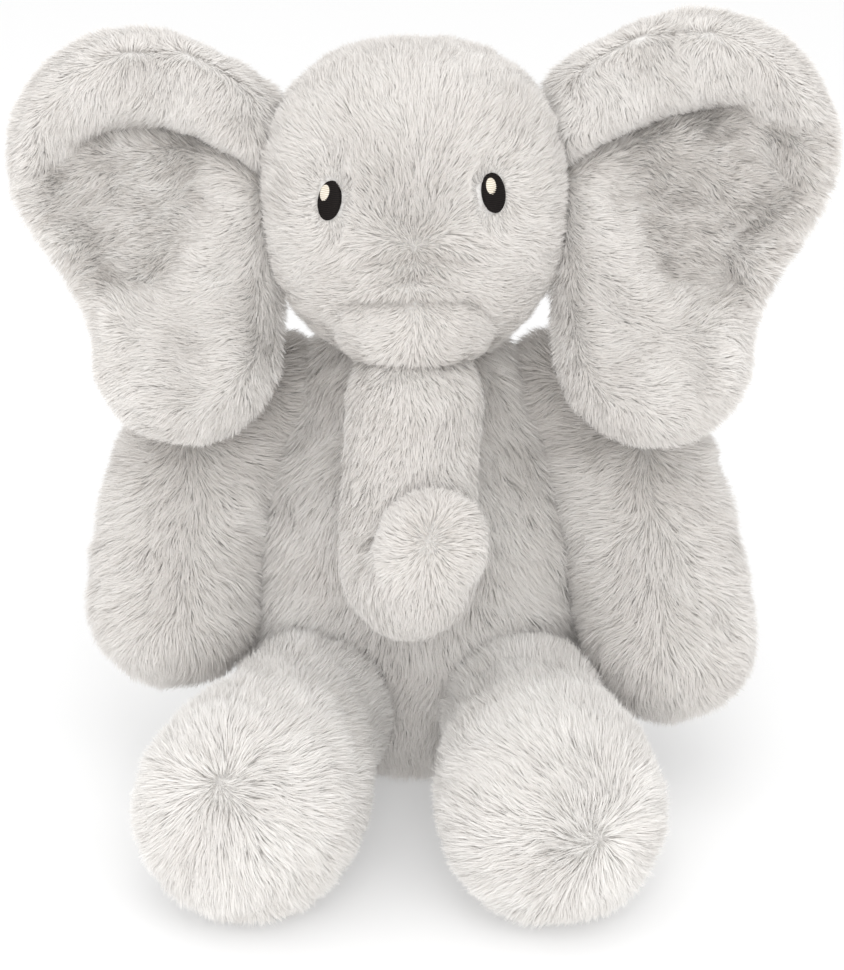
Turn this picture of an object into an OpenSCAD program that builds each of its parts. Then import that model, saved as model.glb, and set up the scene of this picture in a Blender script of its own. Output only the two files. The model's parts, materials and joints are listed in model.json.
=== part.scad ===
// Long-pile plush elephant, sitting with both feet forward, its trunk curled up at the tip.
// It faces -Y, +Z is up, and the origin is the middle of the flat seat panel on the floor.
// "right" and "left" are the elephant's own sides, so right is -X.

/* [Body] */
// Height of the stuffed body, from the floor to the neck opening
body_height = 182; // [170:1:205]
// Width of the body at its widest
body_width = 136; // [126:1:140]
// Depth of the body from belly to back
body_depth = 104; // [90:1:110]
// Width of the round seat panel
seat_width = 78; // [60:1:82]

/* [Head] */
// Width of the head across the cheeks
head_width = 108; // [98:1:114]
// Height of the head, without the trunk
head_height = 104; // [96:1:110]
// Depth of the head from forehead to nape
head_depth = 104; // [96:1:108]
// How far the muzzle stands out of the round head, as a share of its radius
muzzle_swell = 0.12; // [0.04:0.01:0.14]
// Distance between the middles of the eyes
eye_spacing = 58; // [46:1:64]
// Height of one embroidered eye
eye_height = 15; // [10:0.5:18]

/* [Ears] */
// Width of the wide upper part of an ear
ear_width = 98; // [84:1:102]
// Width of the ear's lower lobe
lobe_width = 64; // [50:1:70]
// Distance from the middle of the lobe to the middle of the upper part
ear_reach = 75; // [66:1:80]
// Thickness of an ear
ear_thickness = 8; // [6:0.5:9]

/* [Trunk] */
// Width of the trunk where it leaves the muzzle
trunk_width = 50; // [42:1:52]
// Width of the curled trunk tip
tip_width = 34; // [28:1:38]
// Drop from the trunk's root to the lowest bend of its middle line
trunk_drop = 49; // [42:1:52]

/* [Arms] */
// Width of an arm where it is gathered at the shoulder
shoulder_width = 36; // [30:1:37]
// Width of the round paw
paw_width = 54; // [46:1:56]

/* [Legs] */
// Width of a leg where it meets the body
hip_width = 50; // [42:1:51]
// Width of the round foot
foot_width = 74; // [64:1:76]
// Distance from the hip to the middle of the foot
leg_length = 61; // [54:1:72]

/* [Cloth and filling] */
// Thickness of the plush cloth with its pile pressed flat
cloth = 3; // [2:0.5:3.5]
// Gap left between the cloth and the filling, and along each seam
seam_gap = 0.4; // [0.2:0.1:0.8]

/* [Hidden] */
SIDES = ["right", "left"];

PLUSH = [0.83, 0.82, 0.8];
FIBRE = [0.95, 0.95, 0.93];
DARK_THREAD = [0.09, 0.07, 0.06];
PALE_THREAD = [0.88, 0.86, 0.8];
SEAM_THREAD = [0.62, 0.6, 0.57];

// Which way a side lies along X
function away(side) = side == "right" ? -1 : 1;

// Body outline, bottom to top: share of the height, of the half width and of the half depth
body_outline = [
    [0, 0.6, 0.78], [0.04, 0.8, 0.88], [0.12, 0.95, 0.96], [0.24, 1, 1], [0.38, 0.99, 0.99],
    [0.52, 0.9, 0.9], [0.66, 0.7, 0.76], [0.78, 0.5, 0.59], [0.87, 0.42, 0.48], [0.95, 0.36, 0.42],
    [1, 0.26, 0.32]
];
body_back = 3;
smooth_step = 0.02;

// The head stands clear of the neck opening by the height of the neck's stitching
neck_gap = 6.5;
neck_stitch = 1.2;
head_middle = [0, -8, body_height + neck_gap + head_height / 2];
muzzle_angle = 234;
muzzle_spread = 30;
gusset_half_width = 19;
nape_angle = -15;
muzzle_end = 214;

// The trunk hangs from a round root just below the muzzle
trunk_gap = 2;
trunk_reach = head_height / 2 * (1 + muzzle_swell) + trunk_gap + trunk_width / 2;
trunk_root = head_middle + trunk_reach * [0, cos(muzzle_angle), sin(muzzle_angle)];
trunk_path = [
    trunk_root, trunk_root + [-2, -10, -trunk_drop], trunk_root + [5, -34, -1.42 * trunk_drop],
    trunk_root + [11, -56, -0.76 * trunk_drop]
];

// An ear hinges on a line beside the head that leans forward towards its lower end
ear_lean = 20;
ear_gap = 4;
ear_hinge = [head_width / 2 + ear_gap, -7, head_middle[2] - 6];
ear_dish = 9;
ear_rim_thinning = 0.6;
root_square = 0.6;
lobe_middle = [lobe_width / 2, -62];
upper_middle = [ear_width / 2 + 2, lobe_middle[1] + ear_reach];

// Each arm hangs from its shoulder, outwards and a little forwards
shoulder = [58, 10, 0.82 * body_height];
function paw_middle(side) = side == "right" ? [101, -30, 69] : [106, -41, 59];
function arm_bend(side) = [away(side) * 90, 10, 0.74 * body_height];
tab_radius = 7;
tab_gap = 1;
side_seam_place = 0.78;

// Each leg lies forward on the floor, and its root is clear of the belly
hip = [45, -72, 40];
function leg_turn(side) = side == "right" ? 15 : 3;
tab_height = 18;

// The tail hangs from the back, and its tuft ends just over the floor
tail_width = 9;
tuft_width = 14;
tail_root = [0, body_back + body_depth / 2 + 7, 42];
tail_end = tail_root + [0, 27, -27];

// Point at share t along a smooth bow through its control points
function mix_pairs(points, t) =
    [for (i = [0 : len(points) - 2]) points[i] * (1 - t) + points[i + 1] * t];
function bow(points, t) = len(points) == 1 ? points[0] : bow(mix_pairs(points, t), t);
function unit(v) = v / norm(v);
function tangent(points, t) =
    unit(bow([for (i = [0 : len(points) - 2]) points[i + 1] - points[i]], t));
function ease(a, b, t) = a + (b - a) * (1 - cos(180 * t)) / 2;

// Straight-line value of column c of a table at share t of its first column
function looked_up(table, t, c) = lookup(t, [for (row = table) [row[0], row[c]]]);

// Smooth value between the rows of a table, rounded by averaging three near places
function smoothed(table, t, c) =
    (looked_up(table, max(t - smooth_step, 0), c) + looked_up(table, t, c)
        + looked_up(table, min(t + smooth_step, 1), c)) / 3;

// Surface of the body: t runs from the seat to the neck, a turns round it, depth goes inwards
body_at = function (t, a, depth)
    let (across = body_width / 2 * smoothed(body_outline, t, 1) - depth)
    let (through = body_depth / 2 * smoothed(body_outline, t, 2) - depth)
    [across * cos(a), body_back + through * sin(a), body_height * t + depth * (1 - 2 * t)];

// Surface of the head: t runs from the right cheek to the left, a turns from the nape over the top
head_at = function (t, a, depth)
    let (swell = 1 + muzzle_swell * exp(-pow((a - muzzle_angle) / muzzle_spread, 2)))
    let (ring = sin(180 * t))
    let (through = (head_depth / 2 * swell - depth) * ring)
    let (up = (head_height / 2 * swell - depth) * ring)
    head_middle + [-(head_width / 2 - depth) * cos(180 * t), through * cos(a), up * sin(a)];

// A limb is a tube with two round ends. t runs 0 to 1 over the root's round end, 1 to 2 along
// the limb and 2 to 3 over the far round end. Each station is [place along the limb, radius].
function limb_station(root, far, length, t) =
    t < 1 ? [-root * cos(90 * t), root * sin(90 * t)]
    : t < 2 ? [length * (t - 1), ease(root, far, t - 1)]
    : [length + far * sin(90 * (t - 2)), far * cos(90 * (t - 2))];

// Surface of a limb along a bow of control points, with the given end radii. Directions round it
// are counted from the one that is square to the level vector.
function limb_at(points, root, far, level) = function (t, a, depth)
    let (share = min(max(t - 1, 0), 1))
    let (along = tangent(points, share))
    let (side = unit(cross(along, level)))
    let (up = cross(along, side))
    let (station = limb_station(root - depth, far - depth, 1, t))
    let (beyond = t < 1 ? station[0] : t > 2 ? station[0] - 1 : 0)
    bow(points, share) + along * beyond + station[1] * (side * cos(a) + up * sin(a));

trunk_at = limb_at(trunk_path, trunk_width / 2, tip_width / 2, [0, 0, 1]);

function arm_at(side) = limb_at(
    [[away(side) * shoulder[0], shoulder[1], shoulder[2]], arm_bend(side),
        [away(side) * paw_middle(side)[0], paw_middle(side)[1], paw_middle(side)[2]]],
    shoulder_width / 2, paw_width / 2, [0, 1, 0]);

function foot_middle(side) = [
    away(side) * (hip[0] + leg_length * sin(leg_turn(side))),
    hip[1] - leg_length * cos(leg_turn(side)), foot_width / 2];

function leg_at(side) = limb_at(
    [[away(side) * hip[0], hip[1], hip[2]], foot_middle(side)],
    hip_width / 2, foot_width / 2, [0, 0, 1]);

tail_along = unit(tail_end - tail_root);
tuft_root = tail_end + (tail_width + seam_gap) * tail_along;
tuft_length = 2;
tail_at = limb_at([tail_root, tail_end], tail_width / 2, tail_width / 2, [0, 0, 1]);
tuft_path = [tuft_root, tuft_root + tuft_length * tail_along];
tuft_at = limb_at(tuft_path, tail_width / 2, tuft_width / 2, [0, 0, 1]);

// Surface of an ear: t runs up the ear, u from -1 at the head to 1 at the outer rim, and depth is
// the height over its middle sheet, positive to the front. The side at the head is squarer than
// the outer side, and the ear is thinner at its rim.
function ear_at(side) = function (t, u, depth)
    let (station = limb_station(lobe_width / 2, ear_width / 2, ear_reach, t))
    let (lean_in = (upper_middle[0] - lobe_middle[0]) / ear_reach)
    let (end = t < 1 ? lobe_width / 2 : t > 2 ? ear_width / 2 : station[1])
    let (half = u < 0 ? end * pow(station[1] / end, root_square) : station[1])
    let (s = lobe_middle[0] + lean_in * station[0] + half * u)
    let (h = lobe_middle[1] + station[0])
    let (rim = pow(abs(u), 4))
    let (front = ear_dish * pow(max(u, 0), 2) + depth * (1 - ear_rim_thinning * rim))
    [
        away(side) * (ear_hinge[0] + s),
        ear_hinge[1] + h * sin(ear_lean) - front * cos(ear_lean),
        ear_hinge[2] + h * cos(ear_lean) + front * sin(ear_lean)
    ];

// Both triangles of the square between places i, i + 1 of one row and of the next
function square_faces(p, q, r, s) = [[p, q, r], [p, r, s]];

// A cut of cloth between two depths of a surface, over a range of t and of a. Its four edges
// are closed, or, when round is true, it runs the whole way round and has two.
module cloth_between(form, t_range, a_range, steps, outer, inner, round = false) {
    rows = steps[0];
    columns = steps[1];
    span = round ? columns : columns + 1;
    function place(i, from, to, count) = from + (to - from) * i / count;
    function sheet(depth) = [
        for (i = [0 : rows], j = [0 : span - 1])
            form(place(i, t_range[0], t_range[1], rows), place(j, a_range[0], a_range[1], columns), depth)
    ];
    back = (rows + 1) * span;
    function at(i, j) = i * span + j % span;
    function skin(i, j, base) =
        base == 0
        ? square_faces(at(i, j), at(i + 1, j), at(i + 1, j + 1), at(i, j + 1))
        : square_faces(back + at(i, j), back + at(i, j + 1), back + at(i + 1, j + 1), back + at(i + 1, j));
    function edge(p, q) = square_faces(p, q, back + q, back + p);
    faces = concat(
        [for (base = [0, 1], i = [0 : rows - 1], j = [0 : columns - 1]) each skin(i, j, base)],
        [for (j = [0 : columns - 1]) each edge(at(0, j), at(0, j + 1))],
        [for (j = [0 : columns - 1]) each edge(at(rows, j + 1), at(rows, j))],
        round ? [] : [for (i = [0 : rows - 1]) each edge(at(i + 1, 0), at(i, 0))],
        round ? [] : [for (i = [0 : rows - 1]) each edge(at(i, columns), at(i + 1, columns))]
    );
    polyhedron(concat(sheet(outer), sheet(inner)), faces);
}

// The closed filling inside a surface that turns all the way round
module filling(form, t_range, steps, depth) {
    rows = steps[0];
    turns = steps[1];
    points = [
        for (i = [0 : rows], j = [0 : turns - 1])
            form(t_range[0] + (t_range[1] - t_range[0]) * i / rows, 360 * j / turns, depth)
    ];
    function at(i, j) = i * turns + j % turns;
    faces = concat(
        [for (i = [0 : rows - 1], j = [0 : turns - 1])
            each square_faces(at(i, j), at(i + 1, j), at(i + 1, j + 1), at(i, j + 1))],
        [[for (j = [0 : turns - 1]) at(0, j)]],
        [[for (j = [0 : turns - 1]) at(rows, turns - 1 - j)]]
    );
    polyhedron(points, faces);
}

// A line of stitches laid along points on a surface
module stitch_line(points, thickness) {
    turns = 6;
    last = len(points) - 1;
    function ring(i) =
        let (along = unit(points[min(i + 1, last)] - points[max(i - 1, 0)]))
        let (side = unit(cross(along, [0, 0, 1])))
        let (up = cross(along, side))
        [for (j = [0 : turns - 1])
            points[i] + thickness / 2 * (side * cos(360 * j / turns) + up * sin(360 * j / turns))];
    function at(i, j) = i * turns + j % turns;
    faces = concat(
        [for (i = [0 : last - 1], j = [0 : turns - 1])
            each square_faces(at(i, j), at(i + 1, j), at(i + 1, j + 1), at(i, j + 1))],
        [[for (j = [0 : turns - 1]) at(0, j)]],
        [[for (j = [0 : turns - 1]) at(last, turns - 1 - j)]]
    );
    polyhedron([for (i = [0 : last]) each ring(i)], faces);
}

// A filling keeps this much further in than its cloth, and stops short of the forms' ends
fill_gap = 1.3;
fill_depth = cloth + fill_gap;
fill_from = 0.15;
fill_to = 2.9;

// The body's cloth starts just over the floor, beside the seat panel
body_steps = 12;
body_low = 0.005;
body_fill_low = 0.03;

// One upright panel of the body, between two directions round it
module body_panel(from, to) {
    seam = atan(seam_gap / body_width);
    color(PLUSH)
        cloth_between(body_at, [body_low, 1], [from + seam, to - seam], [body_steps, 9], 0, cloth);
}

module seat_panel() {
    color(PLUSH) cylinder(h = cloth, d = seat_width - 2 * seam_gap - 2 * cloth, $fn = 96);
}

module body_fill() {
    color(FIBRE) filling(body_at, [body_fill_low, 1], [body_steps, 20], fill_depth);
}

// The ring of thread that closes the head onto the body
module neck_seam() {
    ring_radius = body_outline[len(body_outline) - 1][1] * body_width / 2;
    color(SEAM_THREAD)
        translate([0, body_back, body_height + neck_stitch / 2])
            rotate_extrude($fn = 64)
                translate([ring_radius - cloth, 0]) square([cloth, neck_stitch]);
}

// Share of the head's width at which the gusset's seams run
gusset_from = acos(2 * gusset_half_width / head_width) / 180;
head_seam = seam_gap / head_width;
head_end = 0.01;
strip_seam = 0.4;

module cheek_panel(side) {
    near = gusset_from - head_seam;
    reach = side == "right" ? [head_end, near] : [1 - near, 1 - head_end];
    color(PLUSH) cloth_between(head_at, reach, [0, 360], [6, 20], 0, cloth, round = true);
}

// A strip of the head's middle, between two directions seen from the side
module head_strip(from, to, steps) {
    turn = [from + strip_seam, to - strip_seam];
    color(PLUSH)
        cloth_between(head_at, [gusset_from, 1 - gusset_from], turn, [4, steps], 0, cloth);
}

module head_fill() {
    color(FIBRE) filling(head_at, [2 * head_end, 1 - 2 * head_end], [14, 18], fill_depth);
}

// The eye is worked as a raised oval of dark thread, with a small pale oval on it
eye_wide = 0.64;
glint_share = 0.42;
eye_rise = 8;
eye_tilt = 8;
eye_lift = 0.8;
eye_thick = 1.4;
glint_thick = 0.5;
glint_up = 0.2;
glint_across = -0.07;
module eye_oval(side, height, thickness, lift, offset, colour) {
    across = eye_spacing / head_width;
    turn = atan(across * head_height / head_width / sqrt(1 - across * across));
    ring = head_depth / 2 * sqrt(1 - across * across);
    nod = asin(eye_rise / ring);
    middle = head_middle + [away(side) * eye_spacing / 2, -ring * cos(nod), eye_rise];
    color(colour)
        translate(middle)
            rotate([90 - nod, 0, away(side) * turn])
                rotate([0, 0, -away(side) * eye_tilt])
                    translate([offset[0], offset[1], lift])
                        linear_extrude(thickness)
                            polygon([for (a = [0 : 15 : 345])
                                [height * eye_wide / 2 * cos(a), height / 2 * sin(a)]]);
}

module eye(side) {
    eye_oval(side, eye_height, eye_thick, eye_lift, [0, 0], DARK_THREAD);
}

module eye_glint(side) {
    eye_oval(side, eye_height * glint_share, glint_thick, eye_lift + eye_thick,
        eye_height * [glint_across, glint_up], PALE_THREAD);
}

// Stitched creases stand just off the cloth
thread = 1.2;
thread_lift = -0.9;

// A crease held by a line of stitches across the top of the muzzle, lowest in its middle
crease_angle = 209;
crease_drop = 6;
crease_reach = 0.15;
module crease_stitch() {
    places = [
        for (x = [-1 : 1 / 6 : 1])
            head_at(0.5 + crease_reach * x, crease_angle + crease_drop * (1 - x * x), thread_lift)
    ];
    color(SEAM_THREAD) stitch_line(places, thread);
}

// A limb's cloth leaves a little open at each end, and a seam between its two halves
limb_end = 0.03;
limb_seam = 0.6;
module limb_panel(form, reach, from, to, steps) {
    color(PLUSH) cloth_between(form, reach, [from + limb_seam, to - limb_seam], steps, 0, cloth);
}

module trunk_panel(from, to) {
    limb_panel(trunk_at, [limb_end, 3 - limb_end], from, to, [14, 9]);
}

module trunk_fill() {
    color(FIBRE) filling(trunk_at, [fill_from, fill_to], [14, 14], fill_depth);
}

// The line of stitches round the front of the trunk's root
trunk_seam_place = 1.02;
trunk_seam_turn = 70;
module trunk_seam_stitch() {
    front = 270;
    turns = [front - trunk_seam_turn : 14 : front + trunk_seam_turn];
    color(SEAM_THREAD) stitch_line([for (a = turns) trunk_at(trunk_seam_place, a, thread_lift)], thread);
}

// An ear is two cloths with thin wadding between them
ear_low = 0.04;
ear_half = ear_thickness / 2;
ear_core = 0.25 * ear_thickness;
wadding_half = 0.2 * ear_core;
wadding_margin = 0.06;
wadding_across = 0.9;
module ear_layer(side, margin, across, outer, inner) {
    low = ear_low + margin;
    up = [low, 3 - low];
    reach = side == "right" ? [up[1], up[0]] : up;
    cloth_between(ear_at(side), reach, [-across, across], [14, 8], outer, inner);
}

module ear_front(side) {
    color(PLUSH) ear_layer(side, 0, 1, ear_half, ear_core);
}

module ear_back(side) {
    color(PLUSH) ear_layer(side, 0, 1, -ear_core, -ear_half);
}

module ear_fill(side) {
    color(FIBRE) ear_layer(side, wadding_margin, wadding_across, wadding_half, -wadding_half);
}

// The gathered end of the arm's cloth, which the body's side seam holds
module arm_root_tab(side) {
    inner = body_width / 2 * looked_up(body_outline, side_seam_place, 1) + tab_gap;
    outer = shoulder[0] - shoulder_width / 2 - tab_gap;
    color(PLUSH)
        translate([away(side) * (inner + outer) / 2, shoulder[1], shoulder[2]])
            rotate([0, 90, 0])
                cylinder(h = outer - inner, r = tab_radius, center = true, $fn = 48);
}

module arm_front(side) {
    limb_panel(arm_at(side), [limb_end, 3 - limb_end], 0, 180, [13, 9]);
}

module arm_back(side) {
    limb_panel(arm_at(side), [limb_end, 3 - limb_end], 180, 360, [13, 9]);
}

module arm_fill(side) {
    color(FIBRE) filling(arm_at(side), [fill_from, fill_to], [12, 12], fill_depth);
}

// The strip of cloth at the back of the leg's root, which the body's lower seam holds
tab_turn = 50;
tab_thick = 0.8 * cloth;
module leg_root_tab(side) {
    inner = hip_width / 2 + tab_gap;
    color(PLUSH)
        translate([away(side) * hip[0], hip[1], hip[2]])
            rotate([0, 90, 0])
                translate([0, 0, -tab_height / 2])
                    rotate([0, 0, 90 - tab_turn / 2])
                        rotate_extrude(angle = tab_turn, $fn = 96)
                            translate([inner, 0]) square([tab_thick, tab_height]);
}

// The round sole closes the front of the foot
sole_from = 2.5;
sole_seam = 0.01;
module leg_top(side) {
    limb_panel(leg_at(side), [limb_end, sole_from - sole_seam], 180, 360, [10, 10]);
}

module leg_under(side) {
    limb_panel(leg_at(side), [limb_end, sole_from - sole_seam], 0, 180, [10, 10]);
}

module foot_sole(side) {
    color(PLUSH)
        cloth_between(leg_at(side), [sole_from + sole_seam, 3 - sole_seam], [0, 360], [4, 20], 0, cloth,
            round = true);
}

module leg_fill(side) {
    color(FIBRE) filling(leg_at(side), [fill_from, fill_to], [12, 14], fill_depth);
}

module tail_cord() {
    color(PLUSH) filling(tail_at, [fill_from, fill_to], [6, 8], 0);
}

module tail_tuft() {
    color(PLUSH) filling(tuft_at, [2 * fill_from, fill_to], [8, 10], 0);
}

body_panel(215, 325);  // belly_panel
body_panel(90, 215);  // back_panel_right
body_panel(-35, 90);  // back_panel_left
seat_panel();
body_fill();
neck_seam();
cheek_panel("right");  // cheek_panel_right
cheek_panel("left");  // cheek_panel_left
head_strip(nape_angle, muzzle_end, 16);  // forehead_gusset
head_strip(muzzle_end, 360 + nape_angle, 9);  // chin_panel
head_fill();
crease_stitch();
trunk_panel(180, 360);  // trunk_front_panel
trunk_panel(0, 180);  // trunk_under_panel
trunk_fill();
trunk_seam_stitch();
for (side = SIDES) {
    eye(side);
    eye_glint(side);
    ear_front(side);
    ear_back(side);
    ear_fill(side);
    arm_root_tab(side);
    arm_front(side);
    arm_back(side);
    arm_fill(side);
    leg_root_tab(side);
    leg_top(side);
    leg_under(side);
    foot_sole(side);
    leg_fill(side);
}
tail_cord();
tail_tuft();
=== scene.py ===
# %% [markdown]
# # A sitting plush elephant
# A soft toy is a set of cloth skins, each stuffed until it is round, and a deep pile that stands on the cloth.
# This script makes the skins as smooth grids of points, and grows the pile on them as real narrow strands,
# because the pile is most of what is seen of such a toy.

import json
import math

import bpy
import numpy as np
from mathutils import Matrix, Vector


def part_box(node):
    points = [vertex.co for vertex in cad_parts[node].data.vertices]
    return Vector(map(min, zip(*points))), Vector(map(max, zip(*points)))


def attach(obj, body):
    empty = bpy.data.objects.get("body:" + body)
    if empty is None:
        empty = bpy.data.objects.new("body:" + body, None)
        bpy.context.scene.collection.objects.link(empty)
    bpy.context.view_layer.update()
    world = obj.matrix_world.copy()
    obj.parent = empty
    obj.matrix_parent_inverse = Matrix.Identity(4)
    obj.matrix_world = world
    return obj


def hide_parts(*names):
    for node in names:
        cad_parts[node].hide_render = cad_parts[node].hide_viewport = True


MM = 0.001
SIDES = {"right": -1, "left": 1}

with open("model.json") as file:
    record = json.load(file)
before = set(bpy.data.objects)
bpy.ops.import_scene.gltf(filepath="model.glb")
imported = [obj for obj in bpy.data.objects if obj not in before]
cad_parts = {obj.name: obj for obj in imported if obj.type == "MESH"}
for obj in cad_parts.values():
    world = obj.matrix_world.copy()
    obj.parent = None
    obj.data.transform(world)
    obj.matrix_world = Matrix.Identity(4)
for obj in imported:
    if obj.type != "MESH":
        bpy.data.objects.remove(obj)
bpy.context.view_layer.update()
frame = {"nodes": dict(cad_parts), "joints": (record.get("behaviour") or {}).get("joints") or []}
joint_at = {j["name"]: np.array(j["pos_m"], float) for j in frame["joints"]}


def box_of(*nodes):
    """Lowest corner, highest corner and middle of some CAD nodes together, in metres."""
    corners = [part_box(n) for n in nodes]
    low = np.min([np.array(c[0]) for c in corners], axis=0)
    high = np.max([np.array(c[1]) for c in corners], axis=0)
    return low, high, (low + high) / 2


# %% [markdown]
# ## Shared arithmetic
# Every skin is a grid of points P[i, j]: i runs along the form and j runs round it. Its outward normal is the
# cross product of the two grid directions. Smooth noise is a sum of sine waves in many directions. A sculpted
# mesh would do as well, but a grid from formulas can be remade at any size, and the pile can ask it for the
# place and the slope at every root.

# %% Grids and noise


def unit(v):
    """v divided by its own length, along the last axis."""
    return v / np.maximum(np.linalg.norm(v, axis=-1, keepdims=True), 1e-12)


def smooth(x):
    """3x^2 - 2x^3 with x held between 0 and 1."""
    x = np.clip(x, 0, 1)
    return x * x * (3 - 2 * x)


def bell(x, width):
    """exp(-(x / width)^2)."""
    return np.exp(-((x / width) ** 2))


def noise(points, wave, seed, waves=7):
    """Sum of sin(k . p + phase) over a few random directions k of length near 2 pi / wave, over sqrt(waves)."""
    rng = np.random.default_rng(seed)
    k = unit(rng.normal(size=(waves, 3))) * (2 * np.pi / wave)
    k = k * rng.uniform(0.7, 1.4, size=(waves, 1))
    phase = rng.uniform(0, 2 * np.pi, size=waves)
    return np.sin(points @ k.T + phase).sum(axis=-1) / math.sqrt(waves)


def near_to(points, place, width):
    """1 at a place, falling off round it: exp(-(distance / width)^2)."""
    return bell(np.linalg.norm(points - place, axis=-1), width)


def even(value):
    """A function of strand roots and normals that gives every strand the same value."""
    return lambda p, n: np.full(len(p), value)


def grid_normals(grid):
    """Unit cross product of the two grid directions, pointing outwards: the volume they close is positive."""
    along = np.gradient(grid, axis=0)
    wide = np.concatenate([grid[:, -1:], grid, grid[:, :1]], axis=1)
    n = np.cross((wide[:, 2:] - wide[:, :-2]) / 2, along)
    return unit(n) * np.sign(np.sum(n * (grid - grid.mean(axis=(0, 1)))))


def closed_mesh(name, grid):
    """A closed skin from a grid that goes all the way round, with a pole at each end.

    Its faces are turned outwards: the sum of area times normal . centre, three times its volume, is positive.
    """
    rows, turns = grid.shape[:2]
    poles = np.stack([grid[0].mean(axis=0), grid[-1].mean(axis=0)])
    points = np.concatenate([grid.reshape(-1, 3), poles])
    i, j = np.meshgrid(np.arange(rows - 1), np.arange(turns), indexing="ij")
    low, high, beside = i * turns, (i + 1) * turns, (j + 1) % turns
    quads = np.stack([low + j, low + beside, high + beside, high + j], -1).reshape(-1, 4)
    a = np.arange(turns)
    b = (a + 1) % turns
    end = (rows - 1) * turns
    first = np.stack([np.full(turns, rows * turns), b, a], -1)
    last = np.stack([np.full(turns, rows * turns + 1), end + a, end + b], -1)
    mesh = bpy.data.meshes.new(name)
    mesh.from_pydata(points.tolist(), [], quads.tolist() + first.tolist() + last.tolist())
    mesh.shade_smooth()
    obj = bpy.data.objects.new(name, mesh)
    bpy.context.scene.collection.objects.link(obj)
    normals, centres, areas = (np.empty(len(mesh.polygons) * size) for size in (3, 3, 1))
    mesh.polygons.foreach_get("normal", normals)
    mesh.polygons.foreach_get("center", centres)
    mesh.polygons.foreach_get("area", areas)
    if np.sum((normals * centres).reshape(-1, 3).sum(axis=1) * areas) < 0:
        mesh.flip_normals()
    print(name, len(points), "points")
    return obj


def bow(points, t):
    """Point at share t of the Bezier curve through the given control points."""
    p = [np.asarray(x, float) for x in points]
    t = np.asarray(t, float)[..., None]
    while len(p) > 1:
        p = [a * (1 - t) + b * t for a, b in zip(p, p[1:])]
    return p[0] + 0 * t


def tube(path, radius, level, rows, turns, end_rows=12):
    """Skin of a limb: rings of radius(s) round a bow of control points, with a half ball at each end.

    s runs from 0 to 1 along the bow. The half balls have the radii radius(0) and radius(1), and their rings start
    1 degree from the pole, so that the fan of faces there is too small to see.
    """
    s = np.linspace(0, 1, rows)
    a = np.linspace(1, 90, end_rows, endpoint=False) * np.pi / 180
    r0, r1 = radius(np.zeros(1))[0], radius(np.ones(1))[0]
    share = np.concatenate([np.zeros(end_rows), s, np.ones(end_rows)])
    beyond = np.concatenate([-r0 * np.cos(a), np.zeros(rows), r1 * np.cos(a[::-1])])
    r = np.concatenate([r0 * np.sin(a), radius(s), r1 * np.sin(a[::-1])])
    step = 1e-3
    along = unit(bow(path, np.minimum(share + step, 1)) - bow(path, np.maximum(share - step, 0)))
    side = unit(np.cross(along, np.asarray(level, float)))
    up = np.cross(along, side)
    turn = np.linspace(0, 2 * np.pi, turns, endpoint=False)
    middle = bow(path, share) + along * beyond[:, None]
    ring = side[:, None] * np.cos(turn)[:, None] + up[:, None] * np.sin(turn)[:, None]
    return middle[:, None] + r[:, None, None] * ring


# %% [markdown]
# ## The pile
# Long-pile plush is knitted with its pile combed one way, and it falls into small tufts. Blender's hair could
# grow it, but hair is a curve and not a mesh, so it would be lost from a model that is passed on. Each strand
# here is a narrow blade of two faces, widest at its middle: it stands up steeply from the cloth, leans over the
# way the pile is combed, and its tip is drawn towards the middle of its tuft. The map named OFBake holds each
# strand's tone across and its height from root to tip upwards, and the pile's finish reads that map alone.

# %% Where strands stand


def scattered(grid, normals, weight, count, rng):
    """count places spread evenly over a grid by area times weight, their normals, and the weighted area.

    A place is picked from the running total of area times weight, at a random point of its grid square.
    """
    rows, turns = grid.shape[:2]
    wrap = np.concatenate([grid, grid[:, :1]], axis=1)
    wrap_n = np.concatenate([normals, normals[:, :1]], axis=1)
    a, b, c, d = wrap[:-1, :-1], wrap[:-1, 1:], wrap[1:, 1:], wrap[1:, :-1]
    area = np.linalg.norm(np.cross(c - a, d - b), axis=-1) / 2
    middle = (a + b + c + d) / 4
    share = area * weight(middle, unit(wrap_n[:-1, :-1] + wrap_n[1:, 1:]))
    total = np.cumsum(share.ravel())
    pick = np.searchsorted(total, (np.arange(count) + rng.random(count)) / count * total[-1])
    pick = np.minimum(pick, total.size - 1)
    i, j = pick // turns, pick % turns
    s, t = rng.random((2, count, 1))

    def blended(g):
        """g at the picked places, straight-line between the four corners of each grid square."""
        low = g[i, j] * (1 - t) + g[i, j + 1] * t
        high = g[i + 1, j] * (1 - t) + g[i + 1, j + 1] * t
        return low * (1 - s) + high * s

    return blended(wrap), unit(blended(wrap_n)), total[-1]


def gathered(values, tuft, count):
    """Mean of values over each tuft, given back to every strand of that tuft."""
    number = np.bincount(tuft, minlength=count)
    sums = np.stack([np.bincount(tuft, weights=values[:, k], minlength=count) for k in range(3)], -1)
    return (sums / np.maximum(number, 1)[:, None])[tuft]


def everywhere(p, n):
    """The same weight all over a skin."""
    return np.ones(p.shape[:-1])


# %% Growing a pile
BEND = np.radians(18)
ROOT_DEPTH = 0.5 * MM
OVER_FLOOR = 0.4 * MM
HEIGHT_ON_MAP = np.array([0.02, 0.45, 0.45, 0.98])
TONE_ON_MAP = 0.004


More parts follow.
